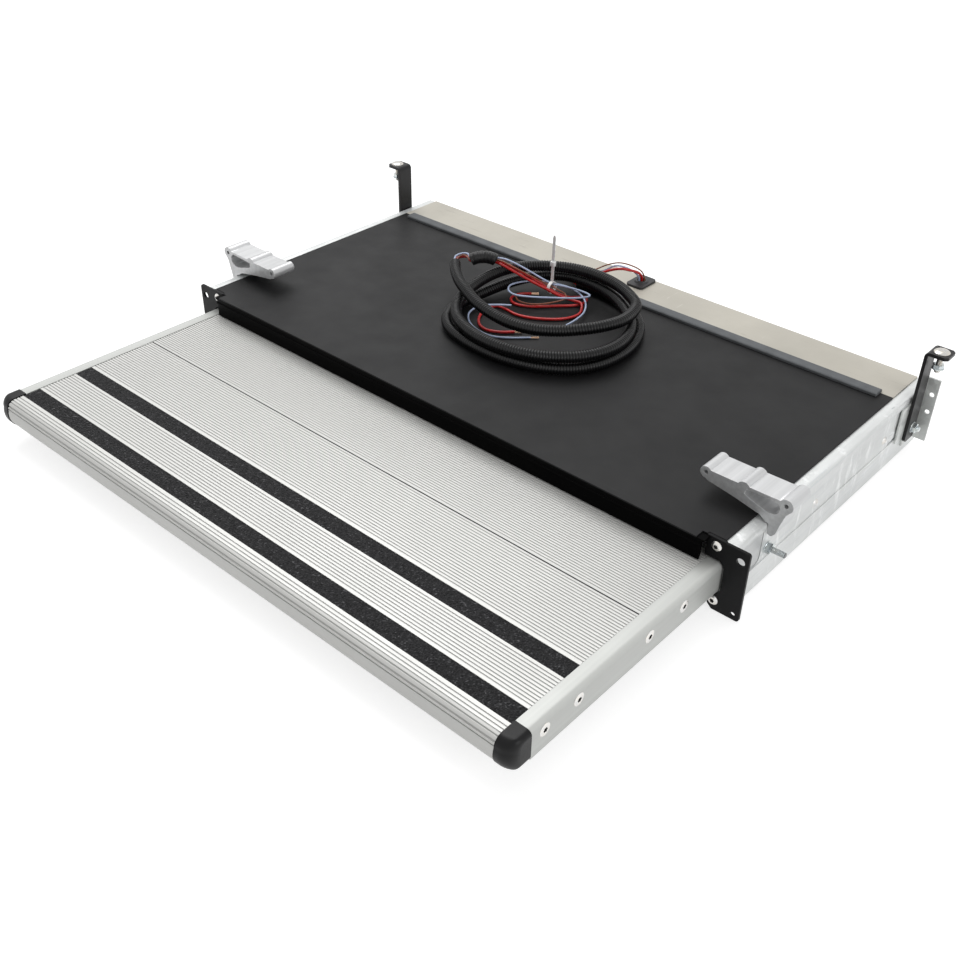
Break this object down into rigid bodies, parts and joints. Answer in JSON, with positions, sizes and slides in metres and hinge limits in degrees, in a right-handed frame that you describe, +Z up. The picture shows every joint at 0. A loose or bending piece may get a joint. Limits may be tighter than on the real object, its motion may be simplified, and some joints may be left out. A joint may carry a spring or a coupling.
{
  "type": "caravan pull out step",
  "caption": "Motorised slide-out entrance step: a flat cassette with an extruded aluminium tread that a lead screw drives out, fixing plates, hangers and a coiled harness.",
  "frame": {"origin": "midpoint between the two upper fixing holes, on the front face of the black fixing plates", "axes": "+X to the right seen from the entrance, +Y into the vehicle, +Z up; the step comes out along -Y and is shown out"},
  "size_m": [0.772, 0.6588, 0.1544],
  "materials": {
    "tread": "silver anodised",
    "rail": "silver anodised",
    "grip": "gritty charcoal",
    "cap": "moulded black",
    "screws": "zinc plated",
    "block": "natural acetal",
    "nut": "natural acetal",
    "spindle": "rolled thread",
    "channel": "silver anodised",
    "track": "bright zinc",
    "zinc": "blue zinc",
    "cover": "charcoal film on sheet",
    "lip": "moulded black",
    "rear": "beige-grey sheet",
    "seal": "grey sponge",
    "plate": "black powder coat",
    "folded": "galvanised sheet",
    "castgrey": "die cast",
    "motor": "dark lacquer",
    "strap": "black powder coat",
    "pad": "bright nickel",
    "angle": "galvanised",
    "bracket": "mill finish with sawn ends",
    "rubber": "black",
    "conduit": "black corrugated",
    "sleeve": "black tape sleeve",
    "red": "red insulation",
    "brown": "brown insulation",
    "blue": "pale blue insulation",
    "tie": "natural nylon"
  },
  "bodies": {
    "housing": {"side_channel_left": "channel", "side_channel_right": "channel", "slide_track_left": "track", "slide_track_right": "track", "front_guide_left": "block", "front_guide_right": "block", "guide_studs": "zinc", "guide_nuts": "zinc", "channel_rivets": "channel", "top_cover": "cover", "front_lip": "lip", "rear_panel": "rear", "seal_strip": "seal", "front_plate_left": "plate", "front_plate_right": "plate", "plate_screws": "screws", "front_cross_member": "folded", "motor_tray": "folded", "screw_bearing": "block", "gearbox": "castgrey", "drive_motor": "motor", "gearbox_screws": "screws", "hanger_strap_left": "strap", "hanger_strap_right": "strap", "hanger_pads": "pad", "hanger_pad_nuts": "zinc", "hanger_bolts": "zinc", "rear_angle": "angle", "clamp_bracket_left": "bracket", "clamp_bracket_right": "bracket", "cable_grommet": "rubber", "harness_conduit": "conduit", "conduit_sleeve": "sleeve", "lead_red": "red", "lead_brown": "brown", "lead_blue": "blue", "tail_red": "red", "tail_front": "red", "tail_brown": "brown", "tail_blue": "blue", "tail_low": "blue", "cable_tie": "tie"},
    "step": {"tread_front_profile": "tread", "tread_rear_profile": "tread", "grip_strip_front": "grip", "grip_strip_rear": "grip", "side_rail_left": "rail", "side_rail_right": "rail", "end_cap_left": "cap", "end_cap_right": "cap", "rail_screws": "screws", "rear_cross_member": "rail", "slide_block_left": "block", "slide_block_right": "block", "slide_block_screws": "screws", "drive_nut": "nut", "nut_screws": "screws"},
    "screw": {"lead_screw": "spindle"}
  },
  "joints": [
    {"name": "step_slide", "type": "slide", "parent": "housing", "child": "step", "axis": [0, 1, 0], "range_m": [0, 0.255]},
    {"name": "screw_spin", "type": "hinge", "parent": "housing", "child": "screw", "pos_m": [0, 0.1, -0.0315], "axis": [0, 1, 0], "range_deg": [0, 9180]}
  ],
  "couplings": [
    {"joint": "screw_spin", "follows": "step_slide", "rad_per_m": 628.32}
  ]
}
